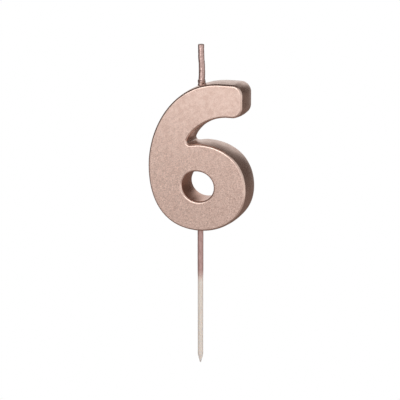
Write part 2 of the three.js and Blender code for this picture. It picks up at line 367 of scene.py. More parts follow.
def cap_triangles(loops, grid):
    """Triangles over the face. Each index counts along the loops first, then the grid."""
    verts = np.vstack([*loops, grid])
    edges = []
    start = 0
    for loop in loops:
        count = len(loop)
        edges += [(start + i, start + (i + 1) % count) for i in range(count)]
        start += count
    result = delaunay_2d_cdt([Vector(v) for v in verts], edges, [], 0, MERGE_DISTANCE)
    triangles = np.array([t for t in result[2] if len(t) == 3])
    origin = np.array([o[0] for o in result[3]])
    triangles = origin[triangles]
    centres = verts[triangles].mean(axis=1)
    triangles = triangles[inside(centres, loops)]
    a, b, c = verts[triangles[:, 0]], verts[triangles[:, 1]], verts[triangles[:, 2]]
    ab, ac = b - a, c - a
    area = ab[:, 0] * ac[:, 1] - ab[:, 1] * ac[:, 0]
    triangles[area < 0] = triangles[area < 0][:, ::-1]
    return triangles

# ---------------------------------------------------------------- the numeral's bodies

FACE_RIM = 0.3  # the flat faces' outermost ring, in from the rounded edge
CAP_COARSENESS = 2.2  # the faces' grid against the outline's spacing
WALL_RELIEF_SIZE = 6.5
FACE_RELIEF_SHARE = 0.5  # of the walls' relief
FACE_RELIEF_SIZE = 9
FACE_RELIEF_SEED = 4.0
RELIEF_MARGIN = 0.4  # the walls' relief would die out this far beyond the faces
RELIEF_FADE = 1.5


def upward(value):
    """Noise moved from -1..1 to 0..1."""
    return 0.5 + 0.5 * value


def edge_profile(half, edge_steps, wall_steps):
    """Pairs of depth into the outline and place across the thickness, from the front face to the back."""
    profile = [(EDGE_WIDTH + FACE_RIM, -half)]
    for step in range(edge_steps + 1):
        angle = math.pi / 2 * step / edge_steps
        depth = WALL_CROWN + (EDGE_WIDTH - WALL_CROWN) * (1 - math.sin(angle))
        profile.append((depth, -half + EDGE_DEPTH * (1 - math.cos(angle))))
    wall_from = -half + EDGE_DEPTH
    for step in range(1, wall_steps):
        share = 1 - 2 * step / wall_steps
        profile.append((WALL_CROWN * share**2, wall_from * share))
    return profile + [(depth, -y) for depth, y in profile[edge_steps + 1::-1]]


def numeral_body(inset, spacing, edge_steps, wall_steps, relief):
    """The six as a closed body, drawn in by inset, its walls swelling and its surface uneven by relief."""
    half = HALF - inset
    profile = edge_profile(half, edge_steps, wall_steps)
    verts = []
    faces = []
    front_loops = []
    front_ids = []
    back_ids = []
    start = 0
    for outline in (numeral_outline(), counter_outline()):
        even, normals = evenly(outline, spacing)
        count = len(even)
        for depth, y in profile:
            loop = even - normals * (depth + inset)
            rows = np.c_[loop[:, 0], np.full(count, y), loop[:, 1]]
            fade = min(1.0, (half + RELIEF_MARGIN - abs(y)) / RELIEF_FADE)
            for row, normal in zip(rows, normals):
                sink = relief * upward(noise_at(row, WALL_RELIEF_SIZE)) * fade
                row[0] -= normal[0] * sink
                row[2] -= normal[1] * sink
            verts.append(rows)
        faces += [face[::-1] for face in grid_faces(len(profile), count, start)]
        front_loops.append(verts[-len(profile)][:, [0, 2]])
        front_ids += list(range(start, start + count))
        last = start + (len(profile) - 1) * count
        back_ids += list(range(last, last + count))
        start += len(profile) * count

    grid = cap_points(front_loops, spacing * CAP_COARSENESS)
    triangles = cap_triangles(front_loops, grid)
    for ids, y, flip in ((front_ids, -half, False), (back_ids, half, True)):
        rows = np.c_[grid[:, 0], np.full(len(grid), y), grid[:, 1]]
        for row in rows:
            sink = relief * FACE_RELIEF_SHARE * upward(noise_at(row, FACE_RELIEF_SIZE, FACE_RELIEF_SEED))
            row[1] -= math.copysign(sink, y)
        verts.append(rows)
        index = np.array(ids + list(range(start, start + len(grid))))
        flipped = index[triangles][:, ::-1] if flip else index[triangles]
        faces += [tuple(int(i) for i in t) for t in flipped]
        start += len(grid)
    return np.vstack(verts), faces


def hidden_body(inset):
    """A coarser and even body, for the surfaces inside."""
    return numeral_body(inset, spacing=0.9, edge_steps=5, wall_steps=6, relief=0)


CUTTER_SIDES = 64
WELD_DISTANCE = 0.001
SEAT_RADIUS = COLLAR_RADIUS + SEAT_FIT
SOCKET_RADIUS = PICK_RADIUS + SOCKET_FIT
CUT_BEYOND = 5  # how far the cutters reach outside the numeral
CUT_THROUGH = 2  # how far they reach past the skin inside it


def cylinder(name, x, radius, from_z, to_z):
    angle = around(CUTTER_SIDES)
    return tube(name, [ring(x, 0, radius, z, angle) for z in (from_z, to_z)])


def seat_and_socket(seat_floor, socket_end):
    """Cutters for the bead's seat at the top and the pick's socket at the base."""
    seat = cylinder("seat_cutter", WICK_X, SEAT_RADIUS, seat_floor, TOP + CUT_BEYOND)
    socket = cylinder("socket_cutter", 0, SOCKET_RADIUS, BASE - CUT_BEYOND, socket_end)
    return [seat, socket]


def wick_channel_cutter():
    """The buried wick's own shape, a little fatter."""
    shape = bmesh.new()
    shape.from_mesh(frame["nodes"]["wick_core"].data)
    bmesh.ops.remove_doubles(shape, verts=shape.verts, dist=WELD_DISTANCE * MM)
    shape.normal_update()
    for vert in shape.verts:
        vert.co += vert.normal * SEAT_FIT * MM
    mesh = bpy.data.meshes.new("wick_channel_cutter")
    shape.to_mesh(mesh)
    shape.free()
    return show("wick_channel_cutter", mesh)


def cut(piece, cutters):
    """Takes the cutters out of the piece, for good."""
    for cutter in cutters:
        modifier = piece.modifiers.new("cut", "BOOLEAN")
        modifier.operation = "DIFFERENCE"
        modifier.solver = "EXACT"
        modifier.object = cutter
    graph = bpy.context.evaluated_depsgraph_get()
    mesh = bpy.data.meshes.new_from_object(piece.evaluated_get(graph))
    piece.modifiers.clear()
    piece.data = mesh
    for cutter in cutters:
        bpy.data.objects.remove(cutter)
    return piece


def make_numeral():
    """The lacquer skin, open where the bead and the pick pass through it."""
    verts, faces = numeral_body(inset=0, spacing=0.42, edge_steps=9, wall_steps=14, relief=0.05)
    inner_verts, inner_faces = hidden_body(SKIN)
    faces += [tuple(len(verts) + i for i in reversed(face)) for face in inner_faces]
    numeral = make_object("numeral_skin", np.vstack([verts, inner_verts]), faces)
    return cut(numeral, seat_and_socket(COLLAR_LOW[2] - CUT_THROUGH, BASE + CUT_THROUGH))


def make_wax():
    """The cast wax under the skin, hollow where the wick, its collar and the pick go in."""
    verts, faces = hidden_body(SKIN + SKIN_GAP)
    wax_piece = make_object("cast_wax", verts, faces)
    cutters = seat_and_socket(COLLAR_LOW[2] - SEAT_FIT, PICK_HIGH[2] + SOCKET_END_GAP)
    return cut(wax_piece, [*cutters, wick_channel_cutter()])

# ---------------------------------------------------------------- wick

# the wick's centre line: a bow to the right above its foot, a lean to the left at the top, and a waver
WICK_LEAN = -0.36
LEAN_CURVE = 1.5
WICK_BOW = 0.14
BOW_RATE = 1.6
WICK_WAVER = 0.1
WAVER_HALF_TURNS = 2.2


def wick_share(z):
    """0 at the wick's foot and 1 at its top."""
    return np.clip((z - WICK_FOOT) / (WICK_TOP - WICK_FOOT), 0, 1)


def wick_centre(z):
    share = wick_share(z)
    bow = WICK_BOW * np.sin(np.pi * np.clip(share * BOW_RATE, 0, 1))
    x = WICK_X + bow + WICK_LEAN * share**LEAN_CURVE
    return x, WICK_WAVER * np.sin(WAVER_HALF_TURNS * np.pi * share)


def groove(phase, sharpness):
    return np.maximum(0, np.cos(phase)) ** sharpness


SLEEVE_SIDES = 96
SLEEVE_LEVELS = 230
SLEEVE_FOOT = WICK_FOOT - 1.6
SLEEVE_RADIUS = 1.5
SLEEVE_TAPER = 0.1
TAPER_CURVE = 0.7
RIM_DROP = 0.25  # from the wick's top to where its rim begins
SLEEVE_GROOVE = 0.1
GROOVE_SHARPNESS = 3
GROOVE_MEAN = 0.65
GROOVE_CHANGE = 0.35
GROOVE_CHANGE_SIZE = 2.5
GROOVE_CHANGE_SEED = 3.0
RUNS = dict(radius=1.4, size=1.1, seed=8.0, stretch=0.45)
RUNS_HEIGHT = 0.035
PITS = dict(radius=1.4, size=0.5, seed=2.0)
PITS_HEIGHT = 0.004
RAGGED = dict(radius=1, size=0.5, seed=5.0)
RAGGED_HEIGHT = 0.1
RIM_STEPS = ((0.97, 0.1), (0.9, 0.16), (0.82, 0.13), (0.8, 0.0))  # share of the radius, and lift
BORE_RADIUS = 1.06
BORE_LEVELS = 60
BORE_FROM = WICK_TOP - 0.8
BORE_TO = BEND_Z - 0.6


def make_wick_sleeve():
    """The lacquered wax round the wick's stub, with the twist of the plies showing through it."""
    angle = around(SLEEVE_SIDES)
    rings = []
    for level in range(SLEEVE_LEVELS):
        z = SLEEVE_FOOT + (WICK_TOP - RIM_DROP - SLEEVE_FOOT) * level / (SLEEVE_LEVELS - 1)
        radius = SLEEVE_RADIUS - SLEEVE_TAPER * wick_share(z) ** TAPER_CURVE
        phase = PLY_COUNT * (angle - 2 * math.pi * z / PLY_PITCH)
        change = GROOVE_CHANGE * noise_at((0, 0, z), GROOVE_CHANGE_SIZE, GROOVE_CHANGE_SEED)
        depth = SLEEVE_GROOVE * (GROOVE_MEAN + change)
        lumps = RUNS_HEIGHT * noise_round(angle, z, **RUNS) + PITS_HEIGHT * noise_round(angle, z, **PITS)
        r = radius - depth * groove(phase, GROOVE_SHARPNESS) + lumps
        rings.append(ring(*wick_centre(z), r, z, angle))
    rings += rim_and_bore(rings[-1], angle)
    return tube("wick_sleeve", rings)


def rim_and_bore(top_ring, angle):
    """The uneven cut rim and the bore, from the outer top ring inwards and down."""
    x, y = wick_centre(WICK_TOP)
    ragged = RAGGED_HEIGHT * noise_round(angle, 0, **RAGGED)
    outer = np.hypot(top_ring[:, 0] - x, top_ring[:, 1] - y)
    rings = []
    for share, lift in RIM_STEPS:
        rings.append(ring(x, y, outer * share, WICK_TOP - RIM_DROP + lift + ragged, angle))
    for z in np.linspace(BORE_FROM, BORE_TO, BORE_LEVELS):
        rings.append(ring(*wick_centre(z), BORE_RADIUS, z, angle))
    return rings


STRAND_SIDES = 42
STRAND_LEVELS = 170
STRAND_FOOT = BEND_Z - 0.35
STRAND_TOP = WICK_TOP - 0.12
STRAND_CENTRE_RADIUS = 0.535
STRAND_RADIUS = 0.47
STRAND_SEED = 20
YARNS = 7
YARN_PITCH = 5.5
YARN_GROOVE = 0.035
TIP_NARROWING = 0.35
TIP_SHARPNESS = 60
FIBRES = 9


def make_strand(index):
    """One ply of the wick: a bundle of yarns, twisted with the others, frayed where it is cut."""
    angle = around(STRAND_SIDES)
    rings = []
    for level in range(STRAND_LEVELS):
        z = STRAND_FOOT + (STRAND_TOP - STRAND_FOOT) * level / (STRAND_LEVELS - 1)
        turn = 2 * math.pi * (index / PLY_COUNT + z / PLY_PITCH)
        x, y = wick_centre(z)
        cx = x + STRAND_CENTRE_RADIUS * math.cos(turn)
        cy = y + STRAND_CENTRE_RADIUS * math.sin(turn)
        twist = YARNS * (angle + 2 * math.pi * z / YARN_PITCH)
        end = 1 - TIP_NARROWING * (level / (STRAND_LEVELS - 1)) ** TIP_SHARPNESS
        r = (STRAND_RADIUS - YARN_GROOVE * upward(np.cos(twist))) * end
        rings.append(ring(cx, cy, r, z, angle))
    random = np.random.default_rng(STRAND_SEED + index)
    pieces = [tube(f"strand_core_{index + 1}", rings)]
    pieces += [make_fibre(f"fibre_{index}_{fibre}", random, cx, cy) for fibre in range(FIBRES)]
    return join(f"wick_strand_{index + 1}", pieces)


FIBRE_SIDES = 6
FIBRE_LEVELS = 6
FIBRE_REACH = (0.05, 0.28)  # out from the strand's centre
FIBRE_RISE = (0.12, 0.26)
FIBRE_LEAN = 0.12
FIBRE_ROOT = WICK_TOP - 0.33
ROOT_LENGTH = 0.12
FIBRE_RADIUS = 0.045
FIBRE_TAPER = 0.6


def make_fibre(name, random, cx, cy):
    """A short loose thread end at the cut."""
    turn = random.uniform(0, 2 * math.pi)
    out = random.uniform(*FIBRE_REACH)
    height = random.uniform(*FIBRE_RISE)
    lean = random.uniform(-FIBRE_LEAN, FIBRE_LEAN, 2)
    angle = around(FIBRE_SIDES)
    rings = []
    for share in np.linspace(0, 1, FIBRE_LEVELS):
        x = cx + out * math.cos(turn) + lean[0] * share**2
        y = cy + out * math.sin(turn) + lean[1] * share**2
        z = FIBRE_ROOT + (height + ROOT_LENGTH) * share
        rings.append(ring(x, y, FIBRE_RADIUS * (1 - FIBRE_TAPER * share), z, angle))
    return tube(name, rings)


BEAD_SIDES = 96
BEAD_LEVELS = 46
BEAD_FOOT = COLLAR_LOW[2] + 0.1
BEAD_SHOULDER = WICK_FOOT - 0.25
BEAD_RADIUS = COLLAR_RADIUS - 0.1
BEAD_SKIRT = 0.06
SKIRT_SHARE = 0.5
BEAD_GROOVE = 0.2
BEAD_GROOVE_SHARPNESS = 2
BEAD_GROOVE_START = 2.5
BEAD_PITCH = PLY_PITCH * 0.62
BEAD_PHASE = 1.2
BEAD_LUMPS = dict(radius=1.8, size=1.2, seed=6.0)
BEAD_LUMPS_HEIGHT = 0.03
LIP_STEPS = ((0.985, 0.12), (0.95, 0.2), (0.9, 0.22), (0.865, 0.15))  # share of the radius, and lift
LIP_DROP = 0.1
LIP_TILT = 0.12
LIP_TILT_TOWARD = 0.5
BEAD_WELL = (1.6, WICK_FOOT - 0.45, BEND_Z - 1.55, 8)  # radius, from, to and levels: room for the sleeve
BEAD_BORE = (1.2, BEND_Z - 1.65, BEAD_FOOT, 6)


def make_bead():
    """The bead of lacquered wax at the wick's foot, with the wick's twist showing through it."""
    angle = around(BEAD_SIDES)
    rings = []
    for z in np.linspace(BEAD_FOOT, BEAD_SHOULDER, BEAD_LEVELS):
        share = (z - BEAD_FOOT) / (WICK_FOOT - BEAD_FOOT)
        phase = PLY_COUNT * (angle - 2 * math.pi * z / BEAD_PITCH) + BEAD_PHASE
        skirt = BEAD_SKIRT * max(0.0, 1 - share / SKIRT_SHARE)
        depth = BEAD_GROOVE * min(1.0, share * BEAD_GROOVE_START)
        lumps = BEAD_LUMPS_HEIGHT * noise_round(angle, z, **BEAD_LUMPS)
        r = BEAD_RADIUS + skirt - depth * groove(phase, BEAD_GROOVE_SHARPNESS) + lumps
        rings.append(ring(WICK_X, 0, r, z, angle))
    shoulder = np.hypot(rings[-1][:, 0] - WICK_X, rings[-1][:, 1])
    tilt = LIP_TILT * np.cos(angle - LIP_TILT_TOWARD)
    for share, lift in LIP_STEPS:
        rings.append(ring(WICK_X, 0, shoulder * share, BEAD_SHOULDER + lift + tilt - LIP_DROP, angle))
    for radius, from_z, to_z, levels in (BEAD_WELL, BEAD_BORE):
        rings += [ring(WICK_X, 0, radius, z, angle) for z in np.linspace(from_z, to_z, levels)]
    return ring_body("wick_bead", rings)

# ---------------------------------------------------------------- pick

PICK_SIDES = 72
POINT_LENGTH = 4.2
TIP_RADIUS = 0.25
TIP_LEVELS = (0.005, 0.03, 0.08, 0.15, 0.25)  # above the point
CONE_FROM = 0.4
CONE_BEYOND = 0.6
CONE_LEVELS = 18
SHAFT_STEP = 0.8
SHAFT_END = 0.4
STICK_SHARE = 0.985  # of the CAD radius, which leaves room for the parting lines
FLASH_HEIGHT = 0.025
FLASH_SHARPNESS = 60
WAVE_SHARE = 0.012
WAVE_SIZE = 7
WAVE_SEED = 1.0
TOP_STEPS = ((0.25, 0.96), (0.08, 0.85), (0.0, 0.7))  # drop from the top, and share of the radius


def pick_radius(z):
    """The stick's radius at a height: a cone with a blunt tip, then an even shaft."""
    above = z - PICK_LOW[2]
    if above >= POINT_LENGTH:
        return PICK_RADIUS
    blunt = TIP_RADIUS * math.sqrt(1 - (1 - min(above, TIP_RADIUS) / TIP_RADIUS) ** 2)
    return blunt + (PICK_RADIUS - TIP_RADIUS) * above / POINT_LENGTH


def make_pick():
    """The moulded stick, with its two fine parting lines."""
    angle = around(PICK_SIDES)
    tip = PICK_LOW[2] + np.array(TIP_LEVELS)
    cone = np.linspace(PICK_LOW[2] + CONE_FROM, PICK_LOW[2] + POINT_LENGTH + CONE_BEYOND, CONE_LEVELS)
    shaft = np.arange(cone[-1] + SHAFT_STEP, PICK_HIGH[2] - SHAFT_END, SHAFT_STEP)
    rings = []
    for z in np.r_[tip, cone, shaft]:
        radius = pick_radius(z)
        flash = FLASH_HEIGHT * groove(2 * angle, FLASH_SHARPNESS) * min(1.0, radius)
        wave = WAVE_SHARE * noise_at((0, 0, z), WAVE_SIZE, WAVE_SEED)
        r = np.minimum(radius * STICK_SHARE + flash + wave * radius, PICK_RADIUS)
        rings.append(ring(0, 0, r, z, angle))
    rings += [ring(0, 0, PICK_RADIUS * share, PICK_HIGH[2] - drop, angle) for drop, share in TOP_STEPS]
    return tube("pick_stick", rings)


SPRAY_LEVELS = 110
SPRAY_FOOT = SPRAY_LOW[2] + 0.02
SPRAY_TOP = SPRAY_HIGH[2]
SPRAY_INNER = PICK_RADIUS + 0.012
SPRAY_EDGE = 0.012  # the lacquer's thickness at its foot
SPRAY_THICKNESS = 0.055  # what it gains on the way up
THICKENING_LENGTH = 5.0
FLARE = 0.3
FLARE_LENGTH = 1.1
FLARE_CURVE = 2.2
SPRAY_RUNS = dict(radius=1.3, size=0.8, seed=12.0, stretch=0.35)
SPRAY_RUNS_HEIGHT = 0.028
SPRAY_PITS = dict(radius=1.3, size=0.5, seed=15.0)
SPRAY_PITS_HEIGHT = 0.012


def make_overspray():
    """The lacquer on the pick: thin, a little lumpy, thinning out downwards, and flared at the wax."""
    angle = around(PICK_SIDES)
    rings = []
    for z in np.linspace(SPRAY_FOOT, SPRAY_TOP, SPRAY_LEVELS):
        fade = min(1.0, (z - SPRAY_FOOT) / THICKENING_LENGTH)
        flare = FLARE * max(0.0, 1 - (SPRAY_TOP - z) / FLARE_LENGTH) ** FLARE_CURVE
        runs = SPRAY_RUNS_HEIGHT * noise_round(angle, z, **SPRAY_RUNS)
        pits = SPRAY_PITS_HEIGHT * noise_round(angle, z, **SPRAY_PITS)
        r = SPRAY_INNER + SPRAY_EDGE + (SPRAY_THICKNESS + (runs + pits)) * fade + flare
        rings.append(ring(0, 0, r, z, angle))
    rings += [ring(0, 0, SPRAY_INNER, z, angle) for z in (SPRAY_TOP, SPRAY_FOOT)]
    return ring_body("pick_overspray", rings)

# ---------------------------------------------------------------- materials

NOISE_SPAN = (0.3, 0.7)  # where nearly all of a noise's values lie
NOISE_MIDDLE = 0.5
SHARE = (0.0, 1.0)
FADING = (1.0, 0.0)


class Tree:
    """Short calls for building a node tree."""

    def __init__(self, tree):
        self.tree = tree

    def add(self, kind, **values):
        node = self.tree.nodes.new(kind)
        for key, value in values.items():
            setattr(node, key, value)
        return node

    def link(self, source, target):
        self.tree.links.new(source, target)

    def put(self, value, target):
        """Sets a number or a colour on an input, or links another node's output to it."""
        if isinstance(value, (int, float)):
            target.default_value = value
        elif isinstance(value, tuple):
            target.default_value = (*value, 1)
        else:
            self.link(value, target)

    def math(self, operation, *values):
        node = self.add("ShaderNodeMath", operation=operation)
        for target, value in zip(node.inputs, values):
            self.put(value, target)
        return node.outputs[0]

    def mix(self, factor, a, b, blend="MIX"):
        """One colour over another. A mix node keeps its colour sockets after those for numbers."""
        node = self.add("ShaderNodeMix", data_type="RGBA", blend_type=blend)
        for index, value in ((0, factor), (6, a), (7, b)):
            self.put(value, node.inputs[index])
        return node.outputs[2]

    def mix_numbers(self, factor, a, b):
        node = self.add("ShaderNodeMix", data_type="FLOAT")
        for index, value in ((0, factor), (2, a), (3, b)):
            self.put(value, node.inputs[index])
        return node.outputs[0]

    def range(self, value, source, target, **values):
        """A value carried from one pair of limits to another, and held at their ends."""
        node = self.add("ShaderNodeMapRange", **values)
        for name, number in zip(("From Min", "From Max", "To Min", "To Max"), (*source, *target)):
            node.inputs[name].default_value = number
        self.link(value, node.inputs["Value"])
        return node.outputs["Result"]


class Material(Tree):
    """A material's node tree, round its shader."""

    def __init__(self, name):
        self.material = bpy.data.materials.new(name)
        self.material.use_nodes = True
        super().__init__(self.material.node_tree)
        self.shader = self.tree.nodes["Principled BSDF"]
        self.place = self.add("ShaderNodeTexCoord").outputs["Object"]

    def set(self, **values):
        """Numbers that are the same all over, on the shader's own sockets."""
        for key, value in values.items():
            self.shader.inputs[key.replace("_", " ")].default_value = value

    def drive(self, **values):
        """Values that change over the surface."""
        for key, value in values.items():
            self.link(value, self.shader.inputs[key.replace("_", " ")])

    def axis(self, vector, name):
        split = self.add("ShaderNodeSeparateXYZ")
        self.link(vector, split.inputs[0])
        return split.outputs[name]

    def moved(self, scale):
        """The piece's own coordinates, stretched."""
        mapping = self.add("ShaderNodeMapping")
        mapping.inputs["Scale"].default_value = scale
        self.link(self.place, mapping.inputs["Vector"])
        return mapping.outputs["Vector"]

    def noise(self, size_mm, detail=2.0, roughness=0.5, along=1.0):
        """Noise with features of a size. An along below 1 draws them out along Z."""
        node = self.add("ShaderNodeTexNoise")
        node.inputs["Scale"].default_value = 1 / (size_mm * MM)
        node.inputs["Detail"].default_value = detail
        node.inputs["Roughness"].default_value = roughness
        self.link(self.place if along == 1 else self.moved((1, 1, along)), node.inputs["Vector"])
        return node.outputs["Fac"]

    def flakes(self, size_mm):
        """Two random values for each cell of a size."""
        node = self.add("ShaderNodeTexVoronoi")
        node.inputs["Scale"].default_value = 1 / (size_mm * MM)
        self.link(self.place, node.inputs["Vector"])
        split = self.add("ShaderNodeSeparateColor")
        self.link(node.outputs["Color"], split.inputs[0])
        return split.outputs[0], split.outputs[1]

    def ramp(self, value, places, colours):
        node = self.add("ShaderNodeValToRGB")
        elements = node.color_ramp.elements
        while len(elements) < len(colours):
            elements.new(places[1])
        for element, place, colour in zip(elements, places, colours):
            element.position = place
            element.color = (*colour, 1)
        self.link(value, node.inputs["Fac"])
        return node.outputs["Color"]

    def bump(self, height, strength, distance_mm, normal=None):
        node = self.add("ShaderNodeBump")
        node.inputs["Strength"].default_value = strength
        node.inputs["Distance"].default_value = distance_mm * MM
        self.link(height, node.inputs["Height"])
        if normal is not None:
            self.link(normal, node.inputs["Normal"])
        return node.outputs["Normal"]


ROSE = (0.76, 0.575, 0.505)
ROSE_PALE = (0.88, 0.70, 0.625)
ROSE_DEEP = (0.565, 0.40, 0.345)
# painted reflection: a warmer, deeper rose on the hole's walls stands for the light bounced between them
ROSE_PAINTED_BOUNCE = (0.76, 0.48, 0.385)

# where a surface counts as one of the two faces or as a wall, by its normal's share along Y
FACE_FACING = (0.955, 0.998)
WALL_FACING = (0.15, 0.6)
PAINTED_BOUNCE_FADE = (0.4, 1.4)  # out from the hole's widest reach, in millimetres

# the faces' sand: full below the first height and at its least above the second
SANDY_BELOW = 48
SMOOTH_ABOVE = 84
LEAST_SAND = 0.3
GRAIN_PLACES = (0.36, 0.5, 0.64)
BLOTCH_PLACES = (0.38, 0.6)
BLOTCH_SHARE = 0.3
SPARKLE = (0.78, 1.17)
FLAKE_HEIGHT = (-0.3, 0.3)
FACE_ROUGHNESS = (0.4, 0.52)
WALL_ROUGHNESS = (0.25, 0.32)


def painted_bounce_wall(m):
    """1 on the wall of the hole, where warm light bounced between its walls is painted, and 0 elsewhere.
    """
    mapping = m.add("ShaderNodeMapping")
    mapping.inputs["Location"].default_value = (-COUNTER_X * MM, 0, -COUNTER_Z * MM)
    flat = m.add("ShaderNodeVectorMath", operation="MULTIPLY")
    flat.inputs[1].default_value = (1, 0, 1)
    length = m.add("ShaderNodeVectorMath", operation="LENGTH")
    m.link(m.place, mapping.inputs["Vector"])
    m.link(mapping.outputs["Vector"], flat.inputs[0])
    m.link(flat.outputs["Vector"], length.inputs[0])
    fade = [(COUNTER_WIDTH / 2 + beyond) * MM for beyond in PAINTED_BOUNCE_FADE]
    return m.range(length.outputs["Value"], fade, FADING)


def numeral_lacquer():
    """Rose-gold metallic lacquer: sandy with flake on the two faces, smoother on the walls and edges, with
    painted warm bounce light on the hole's walls.
    """
    m = Material("rose_gold_lacquer")
    facing = m.math("ABSOLUTE", m.axis(m.add("ShaderNodeTexCoord").outputs["Normal"], "Y"))
    face = m.range(facing, FACE_FACING, SHARE)
    coarse = m.range(m.axis(m.place, "Z"), (SANDY_BELOW * MM, SMOOTH_ABOVE * MM), (1, LEAST_SAND))

    grain = m.noise(size_mm=0.55, detail=4, roughness=0.7)
    blotch = m.noise(size_mm=2.2, detail=3, roughness=0.6)
    flake_glint, flake_height = m.flakes(size_mm=0.3)
    grain_tone = m.ramp(grain, GRAIN_PLACES, (ROSE_DEEP, ROSE, ROSE_PALE))
    blotch_tone = m.ramp(blotch, BLOTCH_PLACES, (ROSE, ROSE_PALE))
    sandy = m.mix(coarse, blotch_tone, m.mix(BLOTCH_SHARE, grain_tone, blotch_tone))
    glitter = m.mix(1.0, sandy, m.range(flake_glint, SHARE, SPARKLE), "MULTIPLY")
    sandy = m.mix(coarse, sandy, glitter)
    smooth_tone = m.ramp(m.noise(size_mm=2.5), NOISE_SPAN, (ROSE, ROSE_PALE))
    # painted reflection: the hole's walls take the warmer, deeper rose of light bounced between them
    painted_bounce = m.math("MULTIPLY", m.range(facing, WALL_FACING, FADING), painted_bounce_wall(m))
    painted_bounce_tone = m.mix(painted_bounce, smooth_tone, ROSE_PAINTED_BOUNCE)

    face_rough = m.range(grain, NOISE_SPAN, FACE_ROUGHNESS)
    wall_rough = m.range(m.noise(size_mm=3.0), NOISE_SPAN, WALL_ROUGHNESS)
    grain_height = m.math("SUBTRACT", grain, NOISE_MIDDLE)
    speckle = m.math("ADD", grain_height, m.range(flake_height, SHARE, FLAKE_HEIGHT))
    height = m.math("MULTIPLY", m.math("MULTIPLY", speckle, coarse), face)
    sand = m.bump(height, strength=0.8, distance_mm=0.05)
    m.drive(
        Base_Color=m.mix(face, painted_bounce_tone, sandy),
        Roughness=m.mix_numbers(face, wall_rough, face_rough),
        Normal=m.bump(m.noise(size_mm=0.9), strength=0.25, distance_mm=0.02, normal=sand),
    )
    m.set(Metallic=0.92)
    return m.material


WICK_DEEP = (0.51, 0.355, 0.33)
WICK_PALE = (0.76, 0.58, 0.545)
# painted shade: the bead gets a darker copy of the wick's lacquer, its deep tone standing for the shade on
# the bead's sides
BEAD_DEEP_PAINTED_SHADE = (0.33, 0.225, 0.195)
BEAD_PALE = (0.78, 0.60, 0.56)
WICK_ROUGHNESS = (0.33, 0.41)


def wick_lacquer(name, deep, pale):
    """The lacquer over waxed cotton, with small runs and pits."""
    m = Material(name)
    m.drive(
        Base_Color=m.ramp(m.noise(size_mm=0.8, detail=3, roughness=0.6), NOISE_SPAN, (deep, pale)),
        Roughness=m.range(m.noise(size_mm=0.5), NOISE_SPAN, WICK_ROUGHNESS),
        Normal=m.bump(m.noise(size_mm=0.5), strength=0.06, distance_mm=0.05),
    )
    m.set(Metallic=0.9)
    return m.material


COTTON_DEEP = (0.52, 0.42, 0.37)
COTTON_PALE = (0.80, 0.73, 0.66)
COTTON_ROUGHNESS = (0.65, 0.9)


def cotton():
    """Waxed cotton yarn: off-white, matt, with fine fibres along it."""
    m = Material("waxed_cotton")
    fibres = m.noise(size_mm=0.12, detail=3, roughness=0.6, along=0.12)
    m.drive(
        Base_Color=m.ramp(fibres, NOISE_SPAN, (COTTON_DEEP, COTTON_PALE)),
        Roughness=m.range(fibres, NOISE_SPAN, COTTON_ROUGHNESS),
        Normal=m.bump(fibres, strength=0.6, distance_mm=0.03),
    )
    m.set(Sheen_Weight=0.3, Sheen_Roughness=0.5)
    return m.material


WAX_DEEP = (0.80, 0.72, 0.60)
WAX_PALE = (0.90, 0.84, 0.74)
WAX_ROUGHNESS = (0.4, 0.58)


def wax():
    """Cast paraffin: ivory, slightly translucent, faintly clouded."""
    m = Material("paraffin")
    m.drive(
        Base_Color=m.ramp(m.noise(size_mm=4.0, detail=3), NOISE_SPAN, (WAX_DEEP, WAX_PALE)),
        Roughness=m.range(m.noise(size_mm=1.2), NOISE_SPAN, WAX_ROUGHNESS),
        Normal=m.bump(m.noise(size_mm=0.6), strength=0.2, distance_mm=0.03),
    )
    m.set(Subsurface_Weight=0.25, Subsurface_Scale=0.002, Subsurface_Radius=(1.0, 0.7, 0.45))
    return m.material


BARE = (0.97, 0.83, 0.755)
BARE_PALE = (0.99, 0.865, 0.79)
SPRAY_TONES = ((0.45, 0.29, 0.275), (0.60, 0.405, 0.385), (0.73, 0.52, 0.50))
SPRAY_PLACES = (0.28, 0.5, 0.75)
SPRAY_METAL = 0.55
SPRAY_ROUGHNESS = (0.42, 0.56)
BARE_SHEEN = 0.8

# the stick is bare below the first height and covered above the second, in speckles between
FADE_FROM = -6.0
FADE_TO = 5.0
COVER = (-0.35, 1.35)
SPECKLE_EDGE = (-0.4, 0.4)


def bare_pick(m):
    """The stick's own colour: cream plastic with faint flow lines."""
    flow = m.noise(size_mm=0.7, detail=3, roughness=0.55, along=0.08)
    return m.ramp(flow, NOISE_SPAN, (BARE, BARE_PALE))


def spray_amount(m):
    """From 0 where the stick is bare to 1 where the lacquer covers it."""
    level = m.range(m.axis(m.place, "Z"), (FADE_FROM * MM, FADE_TO * MM), COVER)
    speckle = m.noise(size_mm=0.22, roughness=0.6)
    return m.range(m.math("SUBTRACT", level, speckle), SPECKLE_EDGE, SHARE)


def sprayed(name, softness):
    """Lacquer that thins out to bare plastic, which lets a little light through by its softness."""
    m = Material(name)
    amount = spray_amount(m)
    streaks = m.noise(size_mm=0.5, detail=3, roughness=0.6, along=0.22)
    m.drive(
        Base_Color=m.mix(amount, bare_pick(m), m.ramp(streaks, SPRAY_PLACES, SPRAY_TONES)),
        Metallic=m.range(amount, SHARE, (0, SPRAY_METAL)),
        Roughness=m.range(streaks, NOISE_SPAN, SPRAY_ROUGHNESS),
        Normal=m.bump(m.noise(size_mm=0.3, detail=3, roughness=0.6), strength=0.4, distance_mm=0.04),
        Subsurface_Weight=m.range(amount, SHARE, (softness, 0)),
        Sheen_Weight=m.range(amount, SHARE, (BARE_SHEEN, 0)),
    )
    m.set(Subsurface_Scale=0.003, Subsurface_Radius=(1.0, 0.9, 0.8), Sheen_Roughness=0.6)
    return m.material

# ---------------------------------------------------------------- the object


